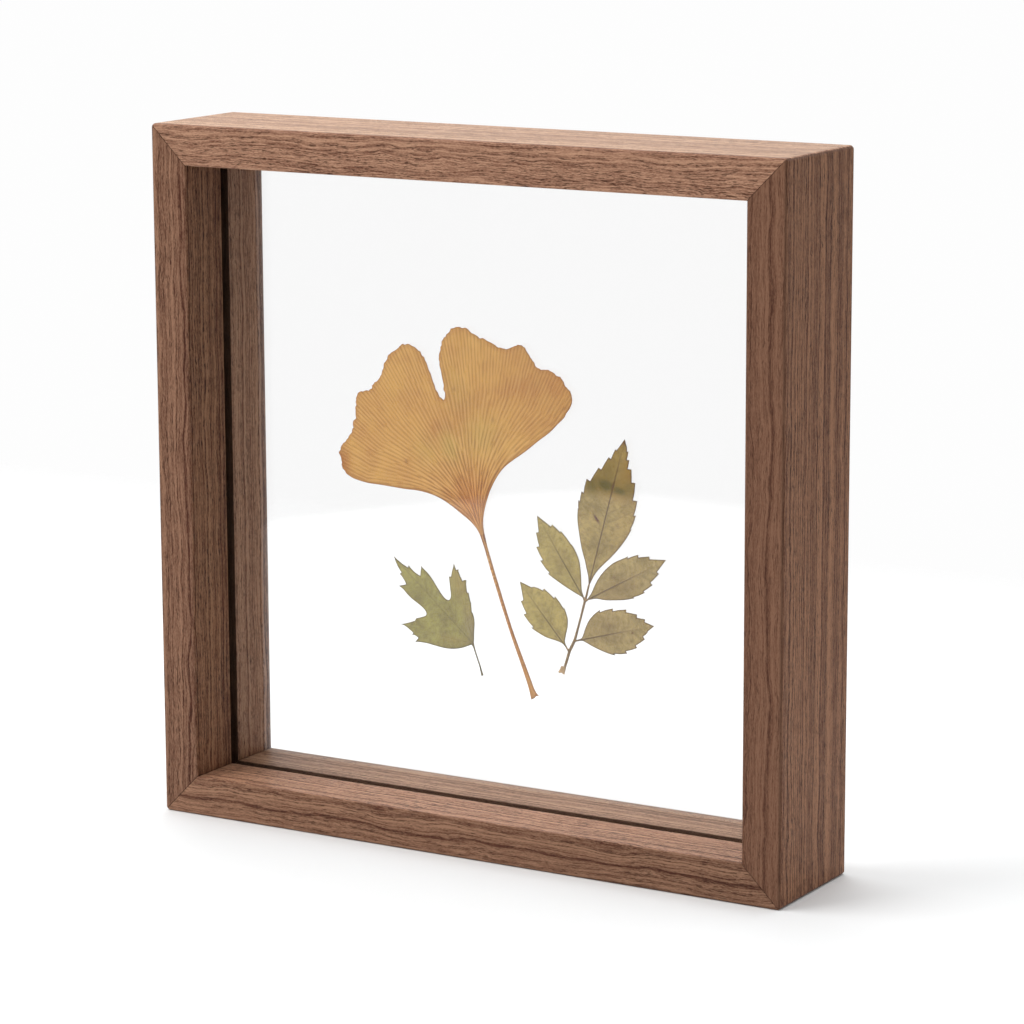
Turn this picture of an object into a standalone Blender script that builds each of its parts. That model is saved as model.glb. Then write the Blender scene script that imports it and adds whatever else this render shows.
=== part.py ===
# Pressed leaf floating frame: a square walnut frame, four mitred rails with a groove round the
# inside, two panes of clear glass held in the groove, and three pressed leaves between the panes.
# The front faces -Y, the frame stands on its bottom rail at z = 0, and the leaves lie at y = 0.

import math

import bmesh
import bpy
from mathutils import Vector

# Frame, in metres
FRAME_SIZE = 0.200        # outside, both ways
FRAME_DEPTH = 0.040       # front to back
FACE_WIDTH = 0.0115       # a rail as seen from the front
OUTER_RADIUS = 0.0010     # rounding of the outer long edges and of the four corners
INNER_RADIUS = 0.0006     # rounding of the edges round the opening
ARC_STEPS = 4             # straight steps in each quarter round
GROOVE_WIDTH = 0.0055     # front to back
GROOVE_DEPTH = 0.0050     # into the rail
GROOVE_LIP = 0.0003       # small chamfer where the groove meets the rail's inner face
PIECE_GAP = 0.0003        # clearance left between two pieces that meet

# Glass
PANE_THICKNESS = 0.0020
PANE_SPACING = 0.0009     # room between the two panes for the leaves
PANE_ARRIS = 0.0002       # ground edge of the glass

# Leaves
LEAF_THICKNESS = 0.00028
MM = 0.001                # the leaf outlines below are in millimetres
CURVE_STEPS = 3           # straight steps between two points of a smooth margin
TOOTH_RISE = 0.15         # how far above a tooth's tip the margin has fallen back, mm
MARGIN_BOW = 0.05         # bow of the margin between two teeth, as a share of its length

# Each leaf is drawn in its own frame: the first number is across, positive to the right of the
# midrib, and the second is along, from the foot of the blade towards its tip.

# Ginkgo blade, from the right side of its foot round both lobes to the left side of its foot
GINKGO_FOOT = (-3.2, 88.4)     # place of the blade's foot, mm right of the middle and above the table
GINKGO_AXIS = 110.0            # direction of the leaf's middle line, degrees up from +X
GINKGO_RIGHT_BASE = (
    (0.7, 0.0), (1.3, 2.8), (2.7, 5.6), (4.6, 8.3), (6.7, 10.8), (9.7, 13.5), (12.7, 15.5),
    (16.0, 16.8), (21.3, 18.2), (26.7, 20.0), (30.7, 21.2), (34.0, 22.7), (36.7, 23.9))
GINKGO_RIGHT_LOBE = (
    (37.7, 24.8), (39.5, 26.0), (40.8, 27.6), (41.2, 29.3), (40.8, 30.7), (40.3, 32.0),
    (40.0, 33.3), (39.3, 34.8), (38.0, 36.2), (36.4, 37.6), (35.2, 38.2), (33.8, 38.7),
    (33.1, 39.6), (32.9, 41.0), (32.2, 42.5), (31.8, 44.0), (31.4, 45.4), (30.7, 46.4),
    (29.6, 46.9), (28.6, 46.6), (27.0, 46.7), (25.3, 46.8), (24.2, 47.5), (22.8, 48.3),
    (21.4, 49.7), (20.0, 51.1), (18.8, 51.8), (17.6, 53.0), (16.0, 54.7), (14.7, 55.9),
    (13.3, 56.5), (11.9, 56.9), (10.4, 56.8), (9.0, 56.1), (7.3, 55.2), (5.9, 54.0),
    (5.0, 52.4), (3.9, 51.0), (3.5, 49.3), (2.9, 45.5), (2.2, 41.5), (1.8, 39.6))
GINKGO_LEFT_LOBE = (
    (1.1, 38.9), (0.3, 39.5), (-0.2, 41.3), (-0.5, 44.7), (-0.7, 48.0), (-1.0, 51.0),
    (-1.5, 53.0), (-2.4, 54.7), (-3.7, 55.9), (-5.0, 56.7), (-6.4, 57.3), (-7.6, 56.8),
    (-9.4, 56.3), (-11.6, 55.7), (-13.0, 54.7), (-14.3, 53.9), (-15.3, 52.5), (-16.3, 51.0),
    (-17.6, 50.1), (-19.0, 49.7), (-20.1, 49.1), (-20.8, 48.2), (-21.9, 47.9), (-23.4, 48.1),
    (-25.2, 48.2), (-26.4, 47.7), (-27.1, 46.5), (-27.6, 44.9), (-28.4, 43.9), (-28.9, 42.3),
    (-29.5, 41.3), (-30.4, 40.6), (-30.9, 39.4), (-32.0, 38.3), (-33.7, 37.0), (-35.2, 36.1),
    (-36.6, 35.4), (-37.7, 34.3), (-38.1, 33.0), (-38.0, 31.6), (-38.5, 29.8), (-38.1, 28.4))
GINKGO_LEFT_BASE = (
    (-37.4, 27.0), (-36.0, 25.7), (-34.0, 24.4), (-31.3, 23.0), (-28.0, 21.7), (-24.0, 20.0),
    (-20.0, 18.3), (-16.0, 16.8), (-12.3, 14.8), (-9.3, 12.5), (-6.7, 9.7), (-4.3, 6.7),
    (-2.3, 4.0), (-1.2, 1.7), (-0.8, 0.0))
# Ginkgo stalk below the blade: (distance below the foot, left edge, right edge)
GINKGO_STALK = (
    (4.0, -0.7, 0.35), (10.0, -0.9, 0.2), (20.0, -1.0, 0.1), (27.0, -0.95, 0.1), (32.0, -0.85, 0.3),
    (38.0, -0.6, 0.7), (43.0, -0.5, 1.0), (45.6, -0.55, 1.15), (46.8, -0.7, 1.4))
GINKGO_STALK_END = ((1.9, -47.7), (1.0, -47.6), (0.4, -48.0), (-0.8, -48.2))   # widened, oblique foot

# Lobed leaf: each run is one smooth stretch of margin, and the runs meet at its sharp points
LOBED_FOOT = (-6.1, 56.5)
LOBED_AXIS = 139.6
LOBED_RUNS = (
    ((0.3, 0.4), (0.9, 0.8), (2.5, 2.1), (4.6, 3.7), (5.7, 4.8), (6.5, 6.1)),
    ((6.5, 6.1), (6.6, 6.6), (7.4, 7.4), (8.4, 8.4)),
    ((8.4, 8.4), (8.6, 8.9), (9.2, 9.7), (9.9, 10.8)),
    ((9.9, 10.8), (9.8, 11.3), (10.9, 12.5), (12.1, 13.7)),
    ((12.1, 13.7), (11.6, 14.2), (11.1, 14.2)),
    ((11.1, 14.2), (11.7, 15.9), (12.5, 17.4)),
    ((12.5, 17.4), (12.0, 17.8)),
    ((12.0, 17.8), (12.7, 19.3)),
    ((12.7, 19.3), (10.8, 18.5), (9.3, 17.7)),
    ((9.3, 17.7), (8.8, 18.1)),
    ((8.8, 18.1), (8.3, 17.6), (6.7, 15.9), (5.2, 14.3), (4.1, 13.8), (3.4, 14.2), (3.1, 15.2),
     (3.2, 16.8), (3.7, 19.2), (4.2, 21.3), (4.5, 23.4), (4.5, 24.8), (4.4, 26.3)),
    ((4.4, 26.3), (3.6, 25.9), (2.7, 25.3), (2.1, 24.9)),
    ((2.1, 24.9), (1.8, 25.8), (1.5, 27.3), (1.5, 29.4)),
    ((1.5, 29.4), (0.9, 29.3)),
    ((0.9, 29.3), (0.6, 30.6), (0.3, 31.9), (0.0, 34.4)),
    ((0.0, 34.4), (-0.7, 33.2), (-1.3, 31.6), (-1.7, 29.8)),
    ((-1.7, 29.8), (-2.3, 29.9)),
    ((-2.3, 29.9), (-2.7, 27.9), (-3.2, 26.6)),
    ((-3.2, 26.6), (-4.2, 27.2), (-5.2, 27.8)),
    ((-5.2, 27.8), (-5.0, 26.4), (-5.1, 24.6), (-5.0, 22.6), (-4.6, 20.5), (-4.3, 18.4),
     (-4.4, 17.1), (-4.9, 16.4), (-5.7, 16.4), (-7.1, 17.2), (-8.3, 18.0)),
    ((-8.3, 18.0), (-9.1, 17.8)),
    ((-9.1, 17.8), (-11.6, 19.2), (-13.3, 20.4)),
    ((-13.3, 20.4), (-12.6, 18.8), (-12.2, 15.9)),
    ((-12.2, 15.9), (-12.8, 15.8)),
    ((-12.8, 15.8), (-12.3, 14.9), (-12.1, 13.8)),
    ((-12.1, 13.8), (-13.6, 13.7)),
    ((-13.6, 13.7), (-12.5, 12.5), (-11.2, 10.9), (-9.6, 8.4), (-7.9, 5.9), (-6.0, 3.8),
     (-3.8, 2.1), (-1.7, 1.0), (-0.3, 0.3)))
# Stalk of the lobed leaf, down its middle: (across, along, width)
LOBED_STALK = ((0.0, 0.4, 0.6), (-0.7, -0.6, 0.45), (-1.9, -2.7, 0.4), (-3.3, -5.3, 0.4),
               (-4.5, -7.1, 0.6), (-4.9, -7.7, 0.7))

# Sprig: the stem's middle line from its torn foot to its top, (across, up, width) from the foot
SPRIG_FOOT = (22.8, 51.3)
STEM_LINE = ((0.0, 0.0, 0.7), (0.5, 2.2, 0.8), (1.1, 4.0, 0.8), (2.0, 6.9, 0.9), (3.6, 10.0, 0.85),
             (4.5, 13.0, 0.7), (5.7, 17.2, 0.65), (6.9, 21.6, 0.75), (7.4, 23.2, 0.6),
             (8.1, 26.1, 0.5))
STEM_TUFT = ((-0.7, 2.3), (-1.0, 1.5), (-1.6, 0.6), (-1.3, 0.1), (-0.7, 0.4))   # torn bark at the foot

# Leaflets of the sprig. joint: where the leaflet's line meets the stem, from the sprig's foot.
# axis: direction of its midrib, degrees up from +X. length: from the joint to the leaflet's tip.
# For each side, margin is the smooth lower edge as (along, half width), and teeth is the toothed
# edge above it as (along, half width at the tooth's tip, how far the margin steps back above it).
LEAFLETS = {
    "tip_leaflet": {
        "joint": (8.2, 26.4), "axis": 74.8, "length": 42.5,
        "right": {
            "margin": ((0.3, 0.25), (2.0, 0.6), (4.0, 1.2), (6.0, 2.2), (8.0, 3.4), (10.0, 4.6),
                       (12.5, 5.9), (15.0, 7.0), (17.2, 7.8), (19.3, 8.4)),
            "teeth": ((19.3, 8.4, 0.25), (23.4, 8.6, 0.5), (27.4, 7.9, 1.2), (32.0, 6.0, 1.0),
                      (35.2, 3.9, 1.0), (37.5, 2.6, 0.6), (39.7, 1.7, 0.3), (41.4, 0.9, 0.2))},
        "left": {
            "margin": ((0.3, 0.25), (2.0, 0.8), (4.0, 1.9), (6.0, 3.0), (8.0, 4.3), (10.0, 5.4),
                       (12.5, 6.6), (15.0, 7.7), (17.0, 8.4), (19.0, 8.8)),
            "teeth": ((19.0, 8.8, 0.2), (21.2, 9.2, 0.4), (23.9, 8.9, 0.6), (27.8, 8.3, 1.1),
                      (32.1, 5.6, 0.8), (36.0, 3.4, 0.7), (38.9, 2.0, 0.3))}},
    "upper_left_leaflet": {
        "joint": (6.8, 22.0), "axis": 124.2, "length": 26.3,
        "right": {
            "margin": ((0.95, 0.25), (2.2, 0.5), (3.4, 1.1), (5.3, 2.3), (8.0, 3.8), (10.1, 4.7),
                       (13.0, 5.1), (14.8, 5.0)),
            "teeth": ((14.8, 5.0, 0.15), (19.1, 4.0, 0.25), (21.9, 2.6, 0.6))},
        "left": {
            "margin": ((0.95, 0.35), (2.6, 1.4), (4.2, 2.4), (6.8, 3.9), (9.3, 5.2), (11.2, 6.2)),
            "teeth": ((11.2, 6.2, 0.6), (15.3, 6.2, 0.7), (19.1, 5.2, 0.8), (22.5, 3.0, 0.7))}},
    "upper_right_leaflet": {
        "joint": (8.0, 22.2), "axis": 29.0, "length": 27.3,
        "right": {
            "margin": ((0.0, 0.2), (2.5, 0.9), (5.0, 2.4), (8.3, 3.8), (10.8, 4.7), (13.2, 5.3)),
            "teeth": ((13.2, 5.3, 0.3), (16.9, 5.2, 0.4), (20.1, 4.2, 0.7), (23.4, 2.3, 0.6))},
        "left": {
            "margin": ((0.0, 0.3), (1.8, 1.2), (3.7, 2.6), (6.2, 4.1), (9.1, 5.2), (12.0, 5.8),
                       (14.4, 5.8), (16.8, 5.6)),
            "teeth": ((16.8, 5.6, 0.4), (20.0, 4.7, 0.6), (23.0, 2.9, 0.6))}},
    "lower_left_leaflet": {
        "joint": (1.7, 7.0), "axis": 131.3, "length": 23.2,
        "right": {
            "margin": ((1.0, 0.25), (2.0, 0.4), (2.9, 1.0), (4.1, 2.6), (5.5, 4.5), (7.2, 5.9),
                       (9.6, 6.8)),
            "teeth": ((9.6, 6.8, 0.3), (13.6, 6.5, 0.5), (17.3, 5.0, 0.5), (20.1, 2.7, 0.6))},
        "left": {
            "margin": ((1.0, 0.2), (2.4, 0.25), (3.8, 1.0), (5.2, 2.1), (7.0, 3.5), (9.4, 4.7),
                       (11.3, 5.5)),
            "teeth": ((11.3, 5.5, 0.6), (15.5, 5.0, 0.8), (18.9, 3.2, 0.7))}},
    "lower_right_leaflet": {
        "joint": (4.0, 10.0), "axis": 16.0, "length": 25.1,
        "right": {
            "margin": ((0.7, 0.25), (1.9, 0.3), (2.7, 0.7), (4.4, 2.0), (6.5, 3.5), (9.0, 5.0),
                       (10.9, 5.9)),
            "teeth": ((10.9, 5.9, 0.4), (14.7, 6.0, 0.6), (18.2, 5.0, 0.6), (21.2, 3.1, 0.8),
                      (23.0, 1.5, 0.3))},
        "left": {
            "margin": ((0.7, 0.25), (2.0, 0.4), (2.8, 1.2), (4.0, 2.9), (5.6, 4.7), (7.6, 6.1),
                       (9.6, 7.0)),
            "teeth": ((9.6, 7.0, 0.5), (13.7, 6.7, 0.6), (17.8, 5.7, 0.6), (20.7, 3.8, 0.7),
                      (22.8, 2.1, 0.6))}},
}


def clear_scene():
    for ob in list(bpy.data.objects):
        bpy.data.objects.remove(ob, do_unlink=True)


def linear(hex_colour):
    # sRGB hex to the linear values that a Principled shader takes
    parts = [int(hex_colour[i:i + 2], 16) / 255 for i in (1, 3, 5)]
    return [p / 12.92 if p <= 0.04045 else ((p + 0.055) / 1.055) ** 2.4 for p in parts] + [1.0]


def make_material(name, hex_colour, roughness, transmission=0.0):
    mat = bpy.data.materials.new(name)
    mat.use_nodes = True
    shader = mat.node_tree.nodes["Principled BSDF"]
    shader.inputs["Base Color"].default_value = linear(hex_colour)
    shader.inputs["Roughness"].default_value = roughness
    shader.inputs["Metallic"].default_value = 0.0
    shader.inputs["Transmission Weight"].default_value = transmission
    return mat


def add_object(name, bm, mat, parent=None):
    bmesh.ops.recalc_face_normals(bm, faces=bm.faces)
    mesh = bpy.data.meshes.new(name)
    bm.to_mesh(mesh)
    bm.free()
    ob = bpy.data.objects.new(name, mesh)
    if mat is not None:
        mesh.materials.append(mat)
    bpy.context.scene.collection.objects.link(ob)
    ob.parent = parent
    return ob


def add_empty(name, location):
    empty = bpy.data.objects.new(name, None)
    empty.location = location
    bpy.context.scene.collection.objects.link(empty)
    return empty


def arc(centre_x, centre_y, radius, start, end):
    # Points along a quarter round, with angles in degrees
    for step in range(ARC_STEPS + 1):
        angle = math.radians(start + (end - start) * step / ARC_STEPS)
        yield (centre_x + radius * math.cos(angle), centre_y + radius * math.sin(angle))


def prism(points, near, far):
    # A closed solid between the outline at near and at far, each a function from a point to 3-D
    bm = bmesh.new()
    front = [bm.verts.new(near(p)) for p in points]
    back = [bm.verts.new(far(p)) for p in points]
    bm.faces.new(front)
    bm.faces.new(reversed(back))
    for i in range(len(points)):
        j = (i + 1) % len(points)
        bm.faces.new((front[i], front[j], back[j], back[i]))
    return bm


def rail_section():
    # Cross-section of a rail: (distance from the middle of the frame, front to back)
    outer = FRAME_SIZE / 2
    inner = outer - FACE_WIDTH
    half_depth = FRAME_DEPTH / 2
    half_groove = GROOVE_WIDTH / 2
    points = list(arc(outer - OUTER_RADIUS, OUTER_RADIUS - half_depth, OUTER_RADIUS, -90, 0))
    points += arc(outer - OUTER_RADIUS, half_depth - OUTER_RADIUS, OUTER_RADIUS, 0, 90)
    points += arc(inner + INNER_RADIUS, half_depth - INNER_RADIUS, INNER_RADIUS, 90, 180)
    points += [(inner, half_groove + GROOVE_LIP), (inner + GROOVE_LIP, half_groove),
               (inner + GROOVE_DEPTH, half_groove), (inner + GROOVE_DEPTH, -half_groove),
               (inner + GROOVE_LIP, -half_groove), (inner, -half_groove - GROOVE_LIP)]
    points += arc(inner + INNER_RADIUS, INNER_RADIUS - half_depth, INNER_RADIUS, 180, 270)
    return points


def corner_block(parent):
    # Guide solid with the frame's outside shape, whose upright edges are rounded
    half = FRAME_SIZE / 2
    corners = []
    for quarter in range(4):
        turn = 90 * quarter
        side_x = half - OUTER_RADIUS if quarter in (0, 3) else OUTER_RADIUS - half
        side_z = half - OUTER_RADIUS if quarter in (0, 1) else OUTER_RADIUS - half
        corners += arc(side_x, side_z, OUTER_RADIUS, turn, turn + 90)
    bm = prism(corners, lambda p: (p[0], -FRAME_DEPTH, p[1]), lambda p: (p[0], FRAME_DEPTH, p[1]))
    block = add_object("corner_block", bm, None, parent)
    block.hide_render = True
    block.display_type = "WIRE"
    return block


def build_rails(centre, mat):
    # Each rail runs along its own X, its ends cut at 45 degrees and set back by half the gap
    setback = PIECE_GAP / 2 * math.sqrt(2)
    section = rail_section()
    block = corner_block(centre)
    for name, turn in (("top_rail", 0), ("right_rail", 90), ("bottom_rail", 180), ("left_rail", 270)):
        bm = prism(section, lambda p: (setback - p[0], p[1], p[0]), lambda p: (p[0] - setback, p[1], p[0]))
        rail = add_object(name, bm, mat, centre)
        rail.rotation_euler.y = math.radians(turn)
        rounding = rail.modifiers.new("rounded corners", "BOOLEAN")
        rounding.operation = "INTERSECT"
        rounding.solver = "EXACT"
        rounding.object = block


def build_panes(centre, mat):
    side = FRAME_SIZE - 2 * FACE_WIDTH + 2 * (GROOVE_DEPTH - PIECE_GAP)
    offset = (PANE_SPACING + PANE_THICKNESS) / 2
    for name, place in (("front_glass", -offset), ("back_glass", offset)):
        bm = bmesh.new()
        bmesh.ops.create_cube(bm, size=1.0)
        bmesh.ops.scale(bm, vec=(side, PANE_THICKNESS, side), verts=bm.verts)
        pane = add_object(name, bm, mat, centre)
        pane.location.y = place
        arris = pane.modifiers.new("ground edges", "BEVEL")
        arris.width = PANE_ARRIS
        arris.segments = 1


def smooth_run(points):
    # Catmull-Rom curve through the points, without its last point
    ends = [points[0]] + list(points) + [points[-1]]
    curve = []
    for i in range(1, len(ends) - 2):
        before, here, there, after = (Vector(p) for p in ends[i - 1:i + 3])
        for step in range(CURVE_STEPS):
            t = step / CURVE_STEPS
            curve.append(0.5 * (2 * here + (there - before) * t
                                + (2 * before - 5 * here + 4 * there - after) * t * t
                                + (3 * here - before - 3 * there + after) * t ** 3))
    return curve


def strip_sides(line):
    # The right and left edges of a flat strip along a line of (across, along, width)
    right = []
    left = []
    for i, (x, y, width) in enumerate(line):
        before = Vector(line[max(i - 1, 0)][:2])
        after = Vector(line[min(i + 1, len(line) - 1)][:2])
        way = (after - before).normalized()
        side = Vector((way.y, -way.x)) * width / 2
        right.append(Vector((x, y)) + side)
        left.append(Vector((x, y)) - side)
    return right, left


def toothed_side(side):
    # One side of a leaflet from its foot to its last tooth, as (half width, along)
    points = smooth_run([(out, up) for up, out in side["margin"]])
    notch = None
    for up, out, step_back in side["teeth"]:
        tooth = Vector((out, up))
        if notch is not None:
            run = tooth - notch
            points.append(notch + run / 2 + Vector((run.y, -run.x)) * MARGIN_BOW)
        points.append(tooth)
        notch = Vector((out - step_back, up + TOOTH_RISE))
        points.append(notch)
    return points


def leaflet_outline(shape):
    right = toothed_side(shape["right"])
    left = [Vector((-p.x, p.y)) for p in toothed_side(shape["left"])]
    return right + [Vector((0, shape["length"]))] + left[::-1]


def ginkgo_outline():
    blade = smooth_run(GINKGO_RIGHT_BASE + GINKGO_RIGHT_LOBE + GINKGO_LEFT_LOBE + GINKGO_LEFT_BASE)
    left = [(edge, -down) for down, edge, _ in GINKGO_STALK]
    right = [(edge, -down) for down, _, edge in GINKGO_STALK]
    return blade + [GINKGO_LEFT_BASE[-1]] + left + list(GINKGO_STALK_END[::-1]) + right[::-1]


def lobed_outline():
    blade = [p for run in LOBED_RUNS for p in smooth_run(run)]
    right, left = strip_sides(LOBED_STALK[::-1])
    return blade + left[::-1][1:] + right[:-1]


def stem_outline():
    right, left = strip_sides(STEM_LINE)
    return right + left[:0:-1] + list(STEM_TUFT)


def add_leaf(name, outline, foot, axis, mat, parent=None):
    # A flat plate of leaf in its own frame, turned so that its middle line points along axis
    half = LEAF_THICKNESS / 2
    bm = prism(outline, lambda p: (p[0] * MM, -half, p[1] * MM), lambda p: (p[0] * MM, half, p[1] * MM))
    leaf = add_object(name, bm, mat, parent)
    leaf.location = (foot[0] * MM, 0, foot[1] * MM)
    leaf.rotation_euler.y = math.radians(90 - axis)


def build_leaves():
    golden = make_material("ginkgo, dried golden tan", "#c4985f", 0.65)
    green = make_material("leaf, dried olive green", "#9b9468", 0.7)
    khaki = make_material("leaf, dried khaki", "#a5956d", 0.7)
    bark = make_material("stem, dried brown", "#6e5a4a", 0.7)
    add_leaf("ginkgo_leaf", ginkgo_outline(), GINKGO_FOOT, GINKGO_AXIS, golden)
    add_leaf("lobed_leaf", lobed_outline(), LOBED_FOOT, LOBED_AXIS, green)
    sprig = add_empty("sprig", (SPRIG_FOOT[0] * MM, 0, SPRIG_FOOT[1] * MM))
    add_leaf("sprig_stem", stem_outline(), (0, 0), 90, bark, sprig)
    for name, shape in LEAFLETS.items():
        add_leaf(name, leaflet_outline(shape), shape["joint"], shape["axis"], khaki, sprig)


def main():
    clear_scene()
    centre = add_empty("frame_centre", (0, 0, FRAME_SIZE / 2))
    build_rails(centre, make_material("walnut, oiled", "#7c5c4a", 0.5))
    build_panes(centre, make_material("clear glass", "#fafcfb", 0.02, transmission=1.0))
    build_leaves()
    bpy.context.view_layer.update()


main()
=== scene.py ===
import math

import bmesh
import bpy
import numpy as np
from mathutils import Matrix, Vector, noise
from mathutils.geometry import delaunay_2d_cdt


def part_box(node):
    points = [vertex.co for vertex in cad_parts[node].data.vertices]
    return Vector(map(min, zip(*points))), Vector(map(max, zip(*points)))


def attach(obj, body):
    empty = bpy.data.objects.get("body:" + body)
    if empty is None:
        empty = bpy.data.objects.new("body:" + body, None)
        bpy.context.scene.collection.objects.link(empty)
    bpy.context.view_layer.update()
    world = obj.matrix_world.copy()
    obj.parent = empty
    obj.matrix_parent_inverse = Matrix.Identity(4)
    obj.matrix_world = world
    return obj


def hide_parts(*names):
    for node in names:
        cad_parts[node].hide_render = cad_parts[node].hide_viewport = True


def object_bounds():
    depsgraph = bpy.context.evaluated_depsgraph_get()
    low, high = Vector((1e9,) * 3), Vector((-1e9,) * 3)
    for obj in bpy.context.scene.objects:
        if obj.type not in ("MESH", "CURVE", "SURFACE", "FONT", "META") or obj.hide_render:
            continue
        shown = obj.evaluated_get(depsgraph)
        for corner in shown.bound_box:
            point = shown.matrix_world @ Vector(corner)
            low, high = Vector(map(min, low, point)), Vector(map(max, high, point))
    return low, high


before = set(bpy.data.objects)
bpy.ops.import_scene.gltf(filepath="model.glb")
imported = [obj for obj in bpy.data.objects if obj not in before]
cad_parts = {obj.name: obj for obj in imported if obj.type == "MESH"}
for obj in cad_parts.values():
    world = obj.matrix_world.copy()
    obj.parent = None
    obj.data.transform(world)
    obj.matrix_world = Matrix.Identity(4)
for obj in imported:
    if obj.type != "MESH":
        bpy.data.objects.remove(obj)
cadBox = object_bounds()
mm = 0.001
middle = Vector((0, 0, (cadBox[0].z + cadBox[1].z) / 2))   # centre of the square frame
scene = bpy.context.scene


def linearColour(hexColour):
    parts = [int(hexColour[i:i + 2], 16) / 255 for i in (1, 3, 5)]
    return [p / 12.92 if p <= 0.04045 else ((p + 0.055) / 1.055) ** 2.4 for p in parts] + [1.0]


def addNode(tree, kind, inputs=None, **settings):
    # inputs: socket name or number -> a value, another node (its first output) or one of its sockets
    node = tree.nodes.new("ShaderNode" + kind)
    for name, value in settings.items():
        setattr(node, name, value)
    for name, value in (inputs or {}).items():
        if isinstance(value, bpy.types.Node):
            value = value.outputs[0]
        if isinstance(value, bpy.types.NodeSocket):
            tree.links.new(value, node.inputs[name])
        else:
            node.inputs[name].default_value = value
    return node


def addMath(tree, operation, *values, **settings):
    return addNode(tree, "Math", dict(enumerate(values)), operation=operation, **settings)


def multiply(tree, one, two, **settings):
    return addMath(tree, "MULTIPLY", one, two, **settings)


def addScaled(tree, vector, factors):
    return addNode(tree, "VectorMath", {0: vector, 1: factors}, operation="MULTIPLY")


def addRange(tree, value, low, high, atLow=0.0, atHigh=1.0, **settings):
    return addNode(tree, "MapRange", {0: value, 1: low, 2: high, 3: atLow, 4: atHigh}, **settings)


def split(tree, vector):
    return addNode(tree, "SeparateXYZ", {0: vector}).outputs


def addNoise(tree, place, detail, roughness=0.5, size=1 / mm):
    # size: mm, over a place in metres; left out where the place is already scaled
    return addNode(tree, "TexNoise", {"Vector": place, "Scale": 1 / (size * mm), "Detail": detail,
                                      "Roughness": roughness})


def blend(tree, share, one, two):
    # from one colour to the other as the share goes from 0 to 1; hex text is an even colour
    one, two = (linearColour(c) if isinstance(c, str) else c for c in (one, two))
    return addNode(tree, "Mix", {0: share, 6: one, 7: two}, data_type="RGBA").outputs[2]


def stored(tree, name, output="Fac"):
    # what storeOnMesh put on the mesh
    return addNode(tree, "Attribute", attribute_name=name).outputs[output]


def storeOnMesh(mesh, **layers):
    # a number or a vector for every point, for the materials
    for name, values in layers.items():
        kind, key = ("FLOAT", "value") if values.ndim == 1 else ("FLOAT_VECTOR", "vector")
        layer = mesh.attributes.new(name, kind, "POINT")
        layer.data.foreach_set(key, values.astype(np.float32).ravel())


def startMaterial(name, **values):
    # a Principled material with plain values on its sockets
    material = bpy.data.materials.new(name)
    material.use_nodes = True
    shader = material.node_tree.nodes["Principled BSDF"]
    for socket, value in values.items():
        shader.inputs[socket.replace("_", " ")].default_value = value
    return material, material.node_tree, shader


def finishMaterial(tree, shader, colour, height, strength, distance):
    # colour and a shallow bump, its distance in mm
    bump = addNode(tree, "Bump", {"Height": height, "Strength": strength, "Distance": distance * mm})
    tree.links.new(colour, shader.inputs["Base Color"])
    tree.links.new(bump.outputs[0], shader.inputs["Normal"])


def addObject(name, data):
    made = bpy.data.objects.new(name, data)
    scene.collection.objects.link(made)
    return made


def addPiece(name, mesh, material, node, place, turn):
    # a finished mesh that stands for one CAD node, turned by so many degrees about the depth
    piece = addObject(name, mesh)
    mesh.materials.append(material)
    piece.location = place
    piece.rotation_euler.y = math.radians(turn)
    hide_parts(node)
    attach(piece, "root")


# Camera, at the photograph's angle
view = {
    "turn": 30.767,          # degrees round to the right of straight on
    "rise": 11.242,          # degrees above level
    "roll": -0.232,
    "distance": 1.0684,      # metres from the aim point
    "aimRight": 0.00517,     # metres right of the frame's centre, in the picture
    "aimUp": -0.0051,
    "lens": 135.23,          # mm, on a sensor 36 mm wide
}


def makeCamera():
    turn, rise, roll = (math.radians(view[k]) for k in ("turn", "rise", "roll"))
    back = Vector((math.sin(turn) * math.cos(rise), -math.cos(turn) * math.cos(rise), math.sin(rise)))
    level = (-back).cross(Vector((0, 0, 1))).normalized()
    upright = level.cross(-back)
    right = level * math.cos(roll) + upright * math.sin(roll)
    up = upright * math.cos(roll) - level * math.sin(roll)
    place = middle + right * view["aimRight"] + up * view["aimUp"] + back * view["distance"]
    lens = bpy.data.cameras.new("camera")
    lens.lens = view["lens"]
    lens.sensor_width = 36
    lens.clip_start = 0.05
    camera = addObject("camera", lens)
    camera.matrix_world = Matrix.Translation(place) @ Matrix((right, up, back)).transposed().to_4x4()
    scene.camera = camera


# Studio: a white card to stand on, a big overhead softbox, a lamp low on the left and a white room behind
studio = {
    "cardWhite": (0.878, 0.889, 0.893),   # how much light the card returns
    "cardFront": (-0.23, -0.48),   # where its rounded front edge comes closest to the camera, metres
    "cardEnds": (-0.5, 0.7),       # how far it runs left and right
    "cardBow": (0.15, 0.03),       # the front edge bows forward from this far right, and by this much
    "cardCurl": (0.115, 0.19, 1.6),   # left of its closest place it curls back: across, back, steepness
    "cardShoulder": -0.15,   # where it ends at the left
    "cardFade": 0.02,        # soft rim of the card
    "cardBack": 0.4,         # how far it runs behind the object
    "backFade": 0.22,        # and over how much of that it goes soft
    "backdrop": 0.985,       # brightness straight behind the object
    "roomBehind": 1.4,       # what surfaces see of the room behind
    "roomFront": 0.45,       # and in front, where the room is darker
    "roomFloor": 0.68,       # and of its floor in front, beyond the card
    "roomRight": 0.45,       # share of the room behind on the right, away from the windows
    # lamp: (power in watts, size, place), metres
    "overhead softbox": (15.5, 1.8, (-0.15, 0.05, 1.8)),
    "side lamp": (10, 0.9, (-0.8, -0.66, 1.1)),
}


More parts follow.
